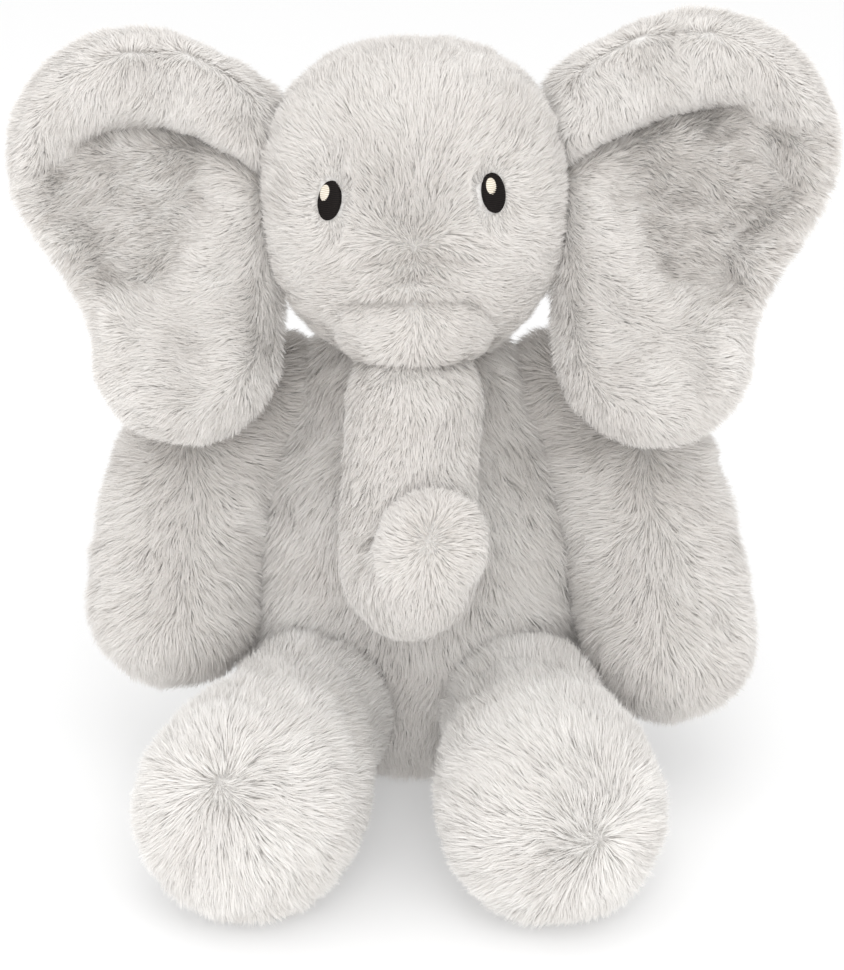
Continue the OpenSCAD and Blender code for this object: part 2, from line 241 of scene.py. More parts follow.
def grow_pile(name, grid, count, seed, comb, length, tone,
              weight=everywhere, lift=42, tuft=2.0, draw=0.20, width=0.34):
    """Strands of pile on a skin. comb, length and tone are functions of the root points and normals.

    Each strand rises at lift + BEND from its root and at lift - BEND towards its tip. lift is in degrees and may
    be a function too. tuft and width are in millimetres, and draw is how far a tip goes towards its tuft's middle.
    """
    rng = np.random.default_rng(seed)
    normals = grid_normals(grid)
    root, n, area = scattered(grid, normals, weight, count, rng)
    lean = comb(root, n)
    lean = unit(lean - np.sum(lean * n, -1, keepdims=True) * n)
    swirl = 0.30 * noise(root, 24 * MM, seed + 1) + 0.20 * noise(root, 9 * MM, seed + 2)
    swirl = swirl + rng.normal(0, 0.16, count)
    across = np.cross(n, lean)
    lean = lean * np.cos(swirl)[:, None] + across * np.sin(swirl)[:, None]
    steep = lift(root, n) if callable(lift) else lift
    rise = np.radians(steep + rng.normal(0, 7, count) + 7 * noise(root, 14 * MM, seed + 3))
    rise = np.clip(rise, 0.15, 1.4)
    size = length(root, n) * (0.82 + 0.3 * rng.random(count))

    def step(angle):
        """Unit step that rises at an angle from the cloth, leaning the combed way."""
        return n * np.sin(angle)[:, None] + lean * np.cos(angle)[:, None]

    middle = root + step(np.minimum(rise + BEND, 1.5)) * (size * 0.42)[:, None]
    tip = middle + step(rise - BEND) * (size * 0.58)[:, None]
    warp = np.stack([noise(root, 8 * MM, seed + k) for k in (4, 5, 6)], -1) * 1.6 * MM
    cell = np.floor((root + warp) / (tuft * MM)).astype(np.int64)
    _, tuft_of = np.unique(cell @ np.array([1, 4099, 4099 * 4099]), return_inverse=True)
    tuft_of = tuft_of.ravel()
    tufts = int(tuft_of.max()) + 1
    pull = draw * (0.6 + 0.6 * rng.random(tufts))[tuft_of][:, None]
    tip = tip + (gathered(tip, tuft_of, tufts) - tip) * pull
    middle = middle + (gathered(middle, tuft_of, tufts) - middle) * pull * 0.35
    foot = root - n * ROOT_DEPTH
    for p in (foot, middle, tip):
        p[:, 2] = np.maximum(p[:, 2], OVER_FLOOR)
    flat_way = unit(np.cross(tip - root, n + 0.35 * rng.normal(size=n.shape)))
    half = (width * MM / 2) * (0.75 + 0.5 * rng.random(count))[:, None] * flat_way
    points = np.stack([foot, middle - half, middle + half, tip], 1)
    flat = np.cross(half, tip - foot)
    turned = np.sum(flat * n, -1) < 0
    points[turned] = points[turned][:, [0, 2, 1, 3]]
    base = np.arange(count)[:, None] * 4
    faces = np.stack([base + [0, 2, 1], base + [1, 2, 3]], 1).reshape(-1, 3)
    mesh = bpy.data.meshes.new(name)
    mesh.vertices.add(count * 4)
    mesh.vertices.foreach_set("co", points.astype(np.float32).ravel())
    mesh.loops.add(len(faces) * 3)
    mesh.loops.foreach_set("vertex_index", faces.astype(np.int32).ravel())
    mesh.polygons.add(len(faces))
    mesh.polygons.foreach_set("loop_start", np.arange(0, len(faces) * 3, 3, dtype=np.int32))
    mesh.polygons.foreach_set("use_smooth", np.ones(len(faces), bool))
    mesh.update(calc_edges=True)
    value = tone(root, n) + 0.03 * rng.normal(size=tufts)[tuft_of] + 0.05 * rng.normal(size=count)
    value = np.clip(value + 0.04 * noise(root, 30 * MM, seed + 7), 0.03, 0.97)
    across_map = np.stack([value, value - TONE_ON_MAP, value + TONE_ON_MAP, value], 1)
    up_map = np.broadcast_to(HEIGHT_ON_MAP, (count, 4))
    uv = np.stack([across_map, up_map], -1).reshape(-1, 2)[faces.ravel()]
    layer = mesh.uv_layers.new(name="OFBake")
    layer.data.foreach_set("uv", uv.astype(np.float32).ravel())
    obj = bpy.data.objects.new(name, mesh)
    bpy.context.scene.collection.objects.link(obj)
    obj.data.materials.append(pile_finish)
    print(name, count, "strands", round(count / (area * 1e6), 2), "per mm2,", tufts, "tufts")
    return obj


# %% [markdown]
# ## Finishes
# A finish is a small tree of nodes: a pattern picks a colour, and the shader says how that colour meets the
# light. Every finish here starts from the same two helpers, one that adds a node and one that sets a ramp.

# %% Tools for finishes


def adder(tree):
    """A helper that adds a node to a tree, sets its properties, and fills the inputs that nothing is linked to."""
    def add(kind, inputs=None, **properties):
        node = tree.nodes.new(kind)
        for key, value in properties.items():
            setattr(node, key, value)
        for key, value in (inputs or {}).items():
            node.inputs[key].default_value = value
        return node

    return add


def new_finish(name, inputs):
    """A material with a Principled shader: the material, a helper that adds a node, its links and its shader."""
    material = bpy.data.materials.new(name)
    material.use_nodes = True
    tree = material.node_tree
    shader = next(n for n in tree.nodes if n.type == "BSDF_PRINCIPLED")
    for key, value in inputs.items():
        shader.inputs[key].default_value = value
    return material, adder(tree), tree.links.new, shader


def ramp_stops(node, stops):
    """Sets a colour ramp's stops from (place, colour) pairs."""
    ramp = node.color_ramp
    while len(ramp.elements) > len(stops):
        ramp.elements.remove(ramp.elements[-1])
    while len(ramp.elements) < len(stops):
        ramp.elements.new(0.5)
    for element, (place, colour) in zip(ramp.elements, stops):
        element.position = place
        element.color = (*colour, 1)


# %% [markdown]
# ## Finish of the pile
# The pile is pale warm grey polyester: matt, with a soft sheen, and darker at its roots, where light hardly
# comes. Light also passes through the fine fibres, so that the side turned away from a lamp still glows. A
# Principled shader alone would leave those strands too dark, so it is mixed with a Translucent one.

# %% Pile finish
GREYS = [(0.0, (0.42, 0.40, 0.38)), (0.5, (0.80, 0.775, 0.75)), (1.0, (0.95, 0.94, 0.925))]
ROOT_TO_TIP = [(0.0, (0.66, 0.65, 0.64)), (0.5, (0.93, 0.925, 0.92)), (1.0, (1.0, 1.0, 1.0))]
SEEN_THROUGH = 0.4


def make_pile_finish():
    """Tone across the map picks the grey, and height up the map darkens the roots: colour is their product."""
    material, add, link, shader = new_finish("pile", {
        "Roughness": 0.85, "Specular IOR Level": 0.15, "Sheen Weight": 0.25, "Sheen Roughness": 0.5,
    })
    place = add("ShaderNodeUVMap", uv_map="OFBake")
    split = add("ShaderNodeSeparateXYZ")
    link(place.outputs["UV"], split.inputs[0])
    colour = add("ShaderNodeMix", {"Factor": 1.0}, data_type="RGBA", blend_type="MULTIPLY")
    for axis, stops, socket in (("X", GREYS, "A"), ("Y", ROOT_TO_TIP, "B")):
        ramp = add("ShaderNodeValToRGB")
        ramp_stops(ramp, stops)
        link(split.outputs[axis], ramp.inputs["Fac"])
        link(ramp.outputs["Color"], colour.inputs[socket])
    through = add("ShaderNodeBsdfTranslucent")
    for node, socket in ((shader, "Base Color"), (through, "Color")):
        link(colour.outputs["Result"], node.inputs[socket])
    shared = add("ShaderNodeMixShader", {"Fac": SEEN_THROUGH})
    link(shader.outputs[0], shared.inputs[1])
    link(through.outputs[0], shared.inputs[2])
    end = next(n for n in material.node_tree.nodes if n.type == "OUTPUT_MATERIAL")
    link(shared.outputs[0], end.inputs["Surface"])
    return material


pile_finish = make_pile_finish()
print("made", pile_finish.name)

# %% [markdown]
# ## Finish of the cloth
# Under the pile is a knitted backing, seen only where the pile parts. Its grey is partly its own colour and partly
# painted shade: it is kept darker than the pile, for the foot of the pile, where light hardly comes. A drawn weave
# would stretch over a curved skin, so fine noise in the piece's own space gives its speckle, and the same noise
# gives its bumps.

# %% Cloth finish


def make_cloth_finish():
    """A grey that runs from dark to pale with fine noise, darker than the pile as painted shade at the pile's
    foot, and a bump from the same noise.
    """
    material, add, link, shader = new_finish("knitted backing", {"Roughness": 0.95})
    place = add("ShaderNodeTexCoord")
    speck = add("ShaderNodeTexNoise", {"Scale": 900, "Detail": 3})
    link(place.outputs["Object"], speck.inputs["Vector"])
    grey = add("ShaderNodeValToRGB")
    # The backing's greys sit below the pile's: partly painted shade for the foot of the pile.
    ramp_stops(grey, [(0.3, (0.52, 0.505, 0.49)), (0.7, (0.68, 0.665, 0.645))])
    link(speck.outputs["Fac"], grey.inputs["Fac"])
    link(grey.outputs["Color"], shader.inputs["Base Color"])
    bump = add("ShaderNodeBump", {"Strength": 0.5, "Distance": 0.0006})
    link(speck.outputs["Fac"], bump.inputs["Height"])
    link(bump.outputs["Normal"], shader.inputs["Normal"])
    return material


cloth_finish = make_cloth_finish()
print("made", cloth_finish.name)

# %% [markdown]
# ## Finishes of the threads
# Three threads are seen: dark and pale embroidery in the eyes, and grey sewing thread in the seams. They differ
# only in colour and gloss, so the ridges of their stitches are one node group, built once and placed in each. The
# group paints shade into the grooves between the stitches, and leaves the ridge tops paler.

# %% Thread finishes


def make_stitch_ridges():
    """A node group for all threads: ridge = half of 1 + sin(scale z + noise), the stitches lying side by side.

    Colour runs from Dark to Pale as the ridge rises from 0.2 to 0.9, so the grooves between stitches get painted
    shade, and Normal is tilted by the ridge's height.
    """
    group = bpy.data.node_groups.new("stitch ridges", "ShaderNodeTree")
    add, link = adder(group), group.links.new
    for way, socket, kind in (("INPUT", "Place", "Vector"), ("INPUT", "Dark", "Color"), ("INPUT", "Pale", "Color"),
                              ("OUTPUT", "Colour", "Color"), ("OUTPUT", "Normal", "Vector")):
        group.interface.new_socket(name=socket, in_out=way, socket_type="NodeSocket" + kind)
    given, made = add("NodeGroupInput"), add("NodeGroupOutput")
    ridges = add("ShaderNodeTexWave", {"Scale": 420, "Distortion": 1.5, "Detail": 2},
                 wave_type="BANDS", bands_direction="Z")
    link(given.outputs["Place"], ridges.inputs["Vector"])
    share = add("ShaderNodeMapRange", {"From Min": 0.2, "From Max": 0.9})
    link(ridges.outputs["Fac"], share.inputs["Value"])
    # Colour from the ridge's height: painted shade in the grooves between stitches, paler on the ridge tops.
    colour = add("ShaderNodeMix", data_type="RGBA")
    link(share.outputs["Result"], colour.inputs["Factor"])
    link(given.outputs["Dark"], colour.inputs["A"])
    link(given.outputs["Pale"], colour.inputs["B"])
    link(colour.outputs["Result"], made.inputs["Colour"])
    bump = add("ShaderNodeBump", {"Strength": 0.6, "Distance": 0.0003})
    link(ridges.outputs["Fac"], bump.inputs["Height"])
    link(bump.outputs["Normal"], made.inputs["Normal"])
    return group


stitch_ridges = make_stitch_ridges()


def make_thread_finish(name, dark, pale, roughness):
    """The stitch ridges between two tones of a thread, the darker one painted shade in the grooves."""
    material, add, link, shader = new_finish(name, {"Roughness": roughness, "Specular IOR Level": 0.15})
    place = add("ShaderNodeTexCoord")
    ridges = add("ShaderNodeGroup", node_tree=stitch_ridges)
    ridges.inputs["Dark"].default_value = (*dark, 1)
    ridges.inputs["Pale"].default_value = (*pale, 1)
    link(place.outputs["Object"], ridges.inputs["Place"])
    link(ridges.outputs["Colour"], shader.inputs["Base Color"])
    link(ridges.outputs["Normal"], shader.inputs["Normal"])
    return material


# Each thread's first tone is its painted shade in the grooves, and its second is its colour on the ridges.
dark_thread = make_thread_finish("dark embroidery thread", (0.003, 0.002, 0.002), (0.010, 0.007, 0.006), 0.7)
pale_thread = make_thread_finish("pale embroidery thread", (0.50, 0.44, 0.35), (0.72, 0.68, 0.60), 0.5)
seam_thread = make_thread_finish("seam thread", (0.30, 0.29, 0.27), (0.45, 0.43, 0.41), 0.8)
print("made", dark_thread.name, "-", pale_thread.name, "-", seam_thread.name)

# %% [markdown]
# ## Skins and piles
# Each stuffed part is two kinds of piece: the cloth skin, which stands for the part's plain panels and filling,
# and the pile that grows on it. Both ride on the same moving body, so the pile never leaves its cloth.

# %% Adding a skin and its pile


def add_skin(name, grid, body, *nodes):
    """A stuffed skin that rides on a body and stands for the given CAD nodes."""
    obj = closed_mesh(name, grid)
    obj.data.materials.append(cloth_finish)
    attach(obj, body)
    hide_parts(*nodes)
    return obj


def add_pile(body, *args, **values):
    """A pile that rides on a body."""
    obj = grow_pile(*args, **values)
    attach(obj, body)
    return obj


# %% [markdown]
# ## Head
# The head is a round ball of stuffing that runs down into the muzzle, where the trunk hangs. It could be three
# balls joined and remeshed, but that would blur its creases. Instead, each direction from a point inside the
# head meets a ball for the skull, one for the cheeks and one for the muzzle, and the skin is a smooth maximum
# of the three. Three stitched creases cross the muzzle: a deep one over its roll, a deep one under it, where
# the trunk begins, and a faint one above.

# %% Balls of the head
_, _, head_middle = box_of("cheek_panel_right", "cheek_panel_left", "forehead_gusset", "chin_panel")
trunk_root = joint_at["trunk_lift"]
skull = (head_middle + [0, 0, 2 * MM], np.array([55, 52, 52.5]) * MM, 2.3)
cheeks = (head_middle + np.array([0, -16, -25]) * MM, np.array([44, 41, 35]) * MM, 2.0)
muzzle = (trunk_root + np.array([0, 8, 28]) * MM, np.array([21.5, 25, 26.5]) * MM, 2.0)
inside = head_middle + np.array([0, -14, -8]) * MM
BLEND = 8 * MM
FAR_OUT = 0.16
HALVINGS = 16


def ball_reach(direction, ball):
    """How far a ray from the point inside runs to leave a ball, found by halving.

    Inside the ball |x/a|^k + |y/b|^k + |z/c|^k is below 1; a power k above 2 makes the ball a little square.
    """
    middle, half, power = ball
    near, far = np.zeros(direction.shape[:-1]), np.full(direction.shape[:-1], FAR_OUT)
    for _ in range(HALVINGS):
        way = (near + far) / 2
        place = np.abs((inside + direction * way[..., None] - middle) / half)
        within = np.sum(place**power, -1) < 1
        near, far = np.where(within, way, near), np.where(within, far, way)
    return near


print("skull", skull[1] / MM, "cheeks", cheeks[1] / MM, "muzzle", muzzle[1] / MM)

# %% Creases of the muzzle


def crease_line(x, height, sag):
    """Height of a crease at x: highest in the middle, falling by sag at 25 mm to each side."""
    return height - sag * (x / (25 * MM)) ** 2


# Each crease: height in the middle, sag, depth and half length
CREASES = [
    (head_middle[2] - 24 * MM, 6.5 * MM, 2.4 * MM, 27 * MM),
    (head_middle[2] - 9 * MM, 5.5 * MM, 1.2 * MM, 24 * MM),
    (head_middle[2] - 49.5 * MM, 6 * MM, 2.6 * MM, 28 * MM),
]


def creased(points):
    """How much each crease sinks the skin at some points, and how near they are to one, from 0 to 1."""
    x, y, z = points[..., 0], points[..., 1], points[..., 2]
    front = smooth((head_middle[1] - 22 * MM - y) / (14 * MM))
    sink = np.zeros(x.shape)
    near = np.zeros(x.shape)
    for height, sag, depth, reach in CREASES:
        away = z - crease_line(x, height, sag)
        across = smooth((reach - np.abs(x)) / (9 * MM))
        sink = sink + depth * bell(away, 2.6 * MM) * front * across
        near = np.maximum(near, bell(away, 2.4 * MM) * front * across * depth / (2.6 * MM))
    return sink, near


# %% Skin of the head


def head_grid(rows=100, turns=120):
    """Skin of the head: BLEND * log(sum of exp(reach / BLEND)) along each direction, sunk at the creases."""
    down = np.linspace(0.8, 179.2, rows)[:, None] * np.pi / 180
    turn = np.linspace(0, 2 * np.pi, turns, endpoint=False)[None]
    d = np.stack([np.sin(down) * np.cos(turn), np.sin(down) * np.sin(turn), np.cos(down) + 0 * turn], -1)
    reach = [ball_reach(d, b) for b in (skull, cheeks, muzzle)]
    top = np.max(reach, axis=0)
    soft = top + BLEND * np.log(sum(np.exp((r - top) / BLEND) for r in reach))
    grid = inside + d * (soft - 0.2 * BLEND)[..., None]
    sink, _ = creased(grid)
    return grid - unit(grid - inside) * sink[..., None]


head_skin = head_grid()
add_skin("head_skin", head_skin, "head", "cheek_panel_right", "cheek_panel_left", "forehead_gusset", "chin_panel",
         "head_fill")


# %% Places of the eyes


def on_skin(grid, normals, x, z):
    """The place on the front of a skin at a given x and z, and its normal, from the nearest grid point's plane."""
    flat, n = grid.reshape(-1, 3), normals.reshape(-1, 3)
    away = (flat[:, 0] - x) ** 2 + (flat[:, 2] - z) ** 2 + np.where(n[:, 1] < -0.1, 0, 1)
    k = int(np.argmin(away))
    y = flat[k, 1] - ((x - flat[k, 0]) * n[k, 0] + (z - flat[k, 2]) * n[k, 2]) / n[k, 1]
    return np.array([x, y, z]), n[k]


EYE_HALF = np.array([4.7, 7.5]) * MM
EYE_NUDGE = {"right": np.array([-0.7, -0.6]) * MM, "left": np.array([-1.0, 2.4]) * MM}
EYES = {}
for side in SIDES:
    _, _, middle = box_of(f"eye_{side}")
    x, z = middle[0] + EYE_NUDGE[side][0], middle[2] + EYE_NUDGE[side][1]
    EYES[side] = on_skin(head_skin, grid_normals(head_skin), x, z)
    print("eye", side, EYES[side][0] / MM)


def eye_distance(points):
    """Distance from the nearer eye's middle, 1 at the eye's edge, and the way from that middle to the point."""
    size = np.array([EYE_HALF[0], 9 * MM, EYE_HALF[1]])
    ways = [points - spot for spot, _ in EYES.values()]
    far = [np.linalg.norm(v / size, axis=-1) for v in ways]
    return np.minimum(*far), np.where((far[1] < far[0])[..., None], ways[1], ways[0])


# %% [markdown]
# ## Pile of the head
# The pile on a face is short, so that the eyes stay clear. It parts on the bridge of the nose and turns away
# from the eyes; at the back of the head it is longer and lies straight down. Each of these is one small
# function, and the pile asks them all at every root. The two halves of the head are two pieces, because each is
# large.

# %% Pile of the head
bridge = head_middle + np.array([0, -58, -6]) * MM


def head_comb(p, n):
    """Away from the bridge of the nose, aside and down on the muzzle, away from the eyes, and down at the back."""
    out = unit(p - bridge)
    low = smooth((bridge[2] + 2 * MM - p[:, 2]) / (14 * MM))[:, None]
    aside = unit(np.stack([p[:, 0] / (9 * MM), 0 * low[:, 0], 0 * low[:, 0] - 0.8], -1))
    flow = out * (1 - low) + aside * low
    back = smooth((p[:, 1] - head_middle[1] + 12 * MM) / (36 * MM))[:, None]
    flow = flow * (1 - back) + np.array([0, 0.5, -1.0]) * back
    r, away = eye_distance(p)
    near = bell(np.maximum(r - 1, 0), 1.3)[:, None]
    return flow * (1 - near) + unit(away) * near


def head_length(p, n):
    """Short on the face, longer at the back of the head, and shortest beside the eyes and in the creases."""
    face = smooth((head_middle[1] - 5 * MM - p[:, 1]) / (40 * MM))
    r, _ = eye_distance(p)
    _, near = creased(p)
    nose = smooth((bridge[2] - p[:, 2]) / (15 * MM)) * face
    by_eye = bell(np.maximum(r - 1, 0), 0.7)
    return (9.0 - 2.0 * face - 1.5 * nose) * MM * (1 - 0.55 * by_eye) * (1 - 0.45 * near)


def head_lift(p, n):
    """Steeper where the pile parts on the bridge of the nose."""
    return 38 + 26 * near_to(p, bridge, 14 * MM)


def head_tone(p, n):
    """Pale on the forehead, with painted shade under the chin and in the creases."""
    _, near = creased(p)
    # Painted shade under the chin, growing below the middle of the head.
    under = smooth((head_middle[2] - 10 * MM - p[:, 2]) / (50 * MM)) * 0.10
    # Painted shade in the creases, as deep as they are near.
    return 0.63 - under - 0.26 * near


def head_weight(p, n):
    """1 everywhere but inside the eyes, where no pile grows."""
    r, _ = eye_distance(p)
    return np.where(r < 0.93, 0.0, 1.0)


for k, (side, sign) in enumerate(SIDES.items()):

    def half_weight(p, n, sign=sign):
        """The head's weight on one side of its middle, and 0 on the other."""
        return head_weight(p, n) * (p[..., 0] * sign > 0)

    add_pile("head", f"head_pile_{side}", head_skin, 79000, 11 + k, head_comb, head_length, head_tone,
             weight=half_weight, lift=head_lift)

# %% [markdown]
# ## Eyes
# Each eye is worked in satin stitch: rows of thread side by side, raised by padding. A flat oval with drawn
# stitches would look printed from the side, so the oval is domed and its rows are real ridges. The pale
# highlight is a smaller oval of thread on top, set up and towards the elephant's right.

# %% Eyes
STITCH_ROW = 0.32 * MM
STITCH_HEIGHT = 0.07 * MM


def stitched_oval(name, spot, normal, half, rise, lift, tilt, finish, body, node, shift=(0, 0)):
    """A raised oval: height = lift + rise * square root of (1 - r^2), with a sine wave for the rows of stitches.

    It stands on the plane that touches the skin at the spot, turned by tilt, and closes 0.9 mm below its top.
    """
    rings, turns = 26, 72
    r = np.linspace(0.03, 1, rings)[:, None]
    a = np.linspace(0, 2 * np.pi, turns, endpoint=False)[None]
    x, y = half[0] * r * np.cos(a), half[1] * r * np.sin(a)
    height = lift + rise * np.sqrt(np.maximum(1 - r**2, 0))
    height = height + STITCH_HEIGHT * np.sin(y / STITCH_ROW * np.pi) * (r < 0.99)
    c, s = math.cos(tilt), math.sin(tilt)
    x, y = x * c - y * s + shift[0], x * s + y * c + shift[1]
    right = unit(np.cross(np.array([0, 0, 1.0]), normal))
    up = np.cross(normal, right)
    top = spot + x[..., None] * right + y[..., None] * up + height[..., None] * normal
    under = top[::-1] - normal * (0.9 * MM)
    grid = np.concatenate([top, under[:1] - normal * 0.2 * MM, under[-6:] - normal * 0.3 * MM])
    obj = closed_mesh(name, grid)
    obj.data.materials.append(finish)
    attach(obj, body)
    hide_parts(node)
    return obj


EYE_TILT = {"right": -9, "left": 5}
for side in SIDES:
    spot, normal = EYES[side]
    lean = math.radians(EYE_TILT[side])
    eye = stitched_oval(f"eye_thread_{side}", spot, normal, EYE_HALF, 1.1 * MM, 1.6 * MM, lean,
                        dark_thread, "head", f"eye_{side}")
    glint = stitched_oval(f"eye_glint_thread_{side}", spot, normal, EYE_HALF * [0.43, 0.42], 0.45 * MM, 2.45 * MM,
                          lean, pale_thread, "head", f"eye_glint_{side}", shift=(-1.4 * MM, 2.7 * MM))

# %% [markdown]
# ## Trunk
# The trunk is a stuffed tube that hangs straight and turns up at its tip, towards the elephant's left. A curve
# with a round bevel could make it, but its pile has to know the slope of the cloth, so it is a grid of rings
# carried along a bow of four control points, with half a ball at each end.

# %% Trunk
trunk_path = trunk_root + np.array([[0, 0, 0], [-3, -8, -52], [-6, -36, -78], [7, -48, -38]]) * MM


def trunk_radius(s):
    """Wide at the muzzle, narrowing smoothly to the tip."""
    return (22.6 - 5.4 * smooth((s - 0.5) / 0.5)) * MM


trunk_skin = tube(trunk_path, trunk_radius, (0, 0, 1), 70, 64)
add_skin("trunk_skin", trunk_skin, "trunk", "trunk_front_panel", "trunk_under_panel", "trunk_fill",
         "trunk_seam_stitch")
trunk_tip = trunk_path[-1] + np.array([-1, -16, 8]) * MM


def trunk_comb(p, n):
    """Down the trunk, then away from the whorl at its tip."""
    away = p - trunk_tip
    near = smooth(1 - (np.linalg.norm(away, axis=-1) - 12 * MM) / (18 * MM))[:, None]
    return np.array([0, -0.1, -1.0]) * (1 - near) + unit(away * [1, 1, 0.6]) * near


def trunk_lift(p, n):
    """Steeper at the whorl, so that the parting stays closed."""
    return 34 + 34 * near_to(p, trunk_tip, 7 * MM)


def trunk_tone(p, n):
    """A little paler towards the tip, which stands out into the light."""
    return 0.63 + 0.05 * smooth((trunk_root[2] - 20 * MM - p[:, 2]) / (60 * MM))


add_pile("trunk", "trunk_pile", trunk_skin, 66000, 31, trunk_comb, even(6.5 * MM), trunk_tone, lift=trunk_lift)

# %% [markdown]
# ## Ears
# An ear is two cloths with thin wadding. Its edges roll forward all round, a deep fold runs out from the head
# under the padded top, and the middle is a shallow dish. It could be modelled flat and folded with a lattice,
# but each of its features is simpler as one term of a height over the ear's own plane. The grid runs up the
# ear, and round it over the front and back over the rear. The ear's own measures are in millimetres.

# %% Measures of the ears
EAR_LEAN = math.radians(20)
EARS = {
    "right": {"lobe": (29.0, -57.0, 33.0), "upper": (49.5, 17.5, 46.0), "fold": (10.8, 0.86, 0.0092)},
    "left": {"lobe": (34.0, -56.0, 35.0), "upper": (52.5, 21.0, 49.5), "fold": (14.5, 0.74, 0.0056)},
}
EAR_THICK = 10.0
EAR_FORWARD = np.array([0, -math.cos(EAR_LEAN), math.sin(EAR_LEAN)])
EAR_UP = np.array([0, math.sin(EAR_LEAN), math.cos(EAR_LEAN)])


def fold_height(side, s):
    """Height of the fold s millimetres out from the head, a low arch: base + slope s - bend s^2."""
    base, slope, bend = EARS[side]["fold"]
    return base + slope * s - bend * s * s


def ear_parts(side, s, h):
    """Height above the fold, how much of the fold is there, and how far a point is into the dish, 0 to 1."""
    above = h - fold_height(side, s)
    reach = smooth((78 - s) / 24)
    ridge = 9 - 0.55 * np.minimum(h, 0)
    into = smooth(-above / 6) * smooth((s - ridge + 4) / 16) * smooth((h + 54) / 24)
    return above, reach, into


def ear_relief(side, s, h, to_edge):
    """Height of an ear's front over its plain thickness: fold, padded top, rolled rim and lobe, less its dish."""
    above, reach, into = ear_parts(side, s, h)
    fold = -9.5 * bell(np.minimum(above, 0) / 6 + np.maximum(above, 0) / 2.0, 1.0) * reach * smooth(s / 8)
    roll = 9.5 * np.sqrt(smooth(above / 9)) * (0.35 + 0.65 * reach)
    rim = 3.5 * smooth((s - 30) / 30) * (1 - smooth((to_edge - 8) / 16)) * smooth((h + 70) / 40)
    lobe_swell = 5.0 * (1 - into) * smooth(-above / 10)
    relief = fold + roll + rim + lobe_swell - 4.5 * into
    return relief + 0.9 * noise(np.stack([s, h, 0 * s], -1), 26, 90 + len(side))


# %% Skin of an ear


def ear_outline(side, rows):
    """Rows of an ear from its lobe up: height, radius and middle of its circle, half chord, inner and outer edge.

    In its own plane an ear is a strip between two circles, s outwards and h upwards. Row place t is below 1 in the
    lobe's half circle, 1 to 2 in the strip, and above 2 in the upper half circle.
    """
    lobe, upper = EARS[side]["lobe"], EARS[side]["upper"]
    t = np.concatenate([
        1 - np.cos(np.linspace(0.08, np.pi / 2, 26, endpoint=False)),
        np.linspace(1, 2, rows - 56),
        2 + np.sin(np.linspace(0.0, np.pi / 2 - 0.08, 31)[1:]),
    ])[:, None]
    mid = np.clip(t - 1, 0, 1)
    ease = (1 - np.cos(np.pi * mid)) / 2
    radius = lobe[2] + (upper[2] - lobe[2]) * ease
    along = np.where(t < 1, -lobe[2] * (1 - np.minimum(t, 1)), np.where(t > 2, upper[2] * (t - 2), 0))
    chord = np.sqrt(np.maximum(radius**2 - along**2, 1e-6))
    middle_s = lobe[0] + (upper[0] - lobe[0]) * ease
    h = lobe[1] + (upper[1] - lobe[1]) * mid + along
    top = upper[1] + upper[2]
    slope_in = -7 + 1.6 * np.log1p(np.exp((h - top + 24) / 3)) * 3
    upper_in = slope_in + (middle_s - chord - slope_in) * smooth((h - top + 15) / 14)
    inner_s = np.where(t < 1, middle_s - chord, np.where(t > 2, upper_in, 0))
    belt = (1 - mid) * (lobe[0] - lobe[2]) + mid * -7
    inner_s = np.where((t >= 1) & (t <= 2), belt, inner_s)
    return t, h, along, radius, middle_s, inner_s, middle_s + chord, top


def ear_grid(side, rows=104, across=50):
    """Skin of one ear: half the thickness * sqrt(1 - (1 - edge distance / 9)^2) to each side, and the relief.

    The relief is whole in front and a quarter of it behind, and the lower end curls forwards.
    """
    t, h, along, radius, middle_s, inner_s, outer_s, top = ear_outline(side, rows)
    u = (1 - np.cos(np.linspace(0, np.pi, across)))[None] / 2
    s = inner_s + (outer_s - inner_s) * u
    h = h + 0 * s
    to_edge = np.minimum(outer_s - s, radius - np.hypot(along, np.maximum(s - middle_s, 0)))
    to_edge = np.minimum(to_edge, s - inner_s)
    to_edge = np.minimum(to_edge, np.where(t > 2, (top - h) * 1.1, 99))
    to_edge = np.maximum(np.minimum(to_edge, np.where(t < 1, radius - np.hypot(along, s - middle_s), 99)), 0)
    relief = ear_relief(side, s, h, to_edge) * smooth(to_edge / 11)
    curl = 8.0 * smooth((-30 - h) / 55)
    thick = EAR_THICK / 2 * np.sqrt(np.maximum(1 - (1 - np.minimum(to_edge / 9, 1)) ** 2, 0))
    front, back = curl + thick + relief, curl - thick + 0.25 * relief
    s, h, f = (np.concatenate([a, b[:, -2:0:-1]], 1) for a, b in ((s, s), (h, h), (front, back)))
    hinge = joint_at[f"ear_flap_{side}"] / MM
    return np.stack([
        hinge[0] + SIDES[side] * s,
        hinge[1] + h * math.sin(EAR_LEAN) - f * math.cos(EAR_LEAN),
        hinge[2] + h * math.cos(EAR_LEAN) + f * math.sin(EAR_LEAN),
    ], -1) * MM
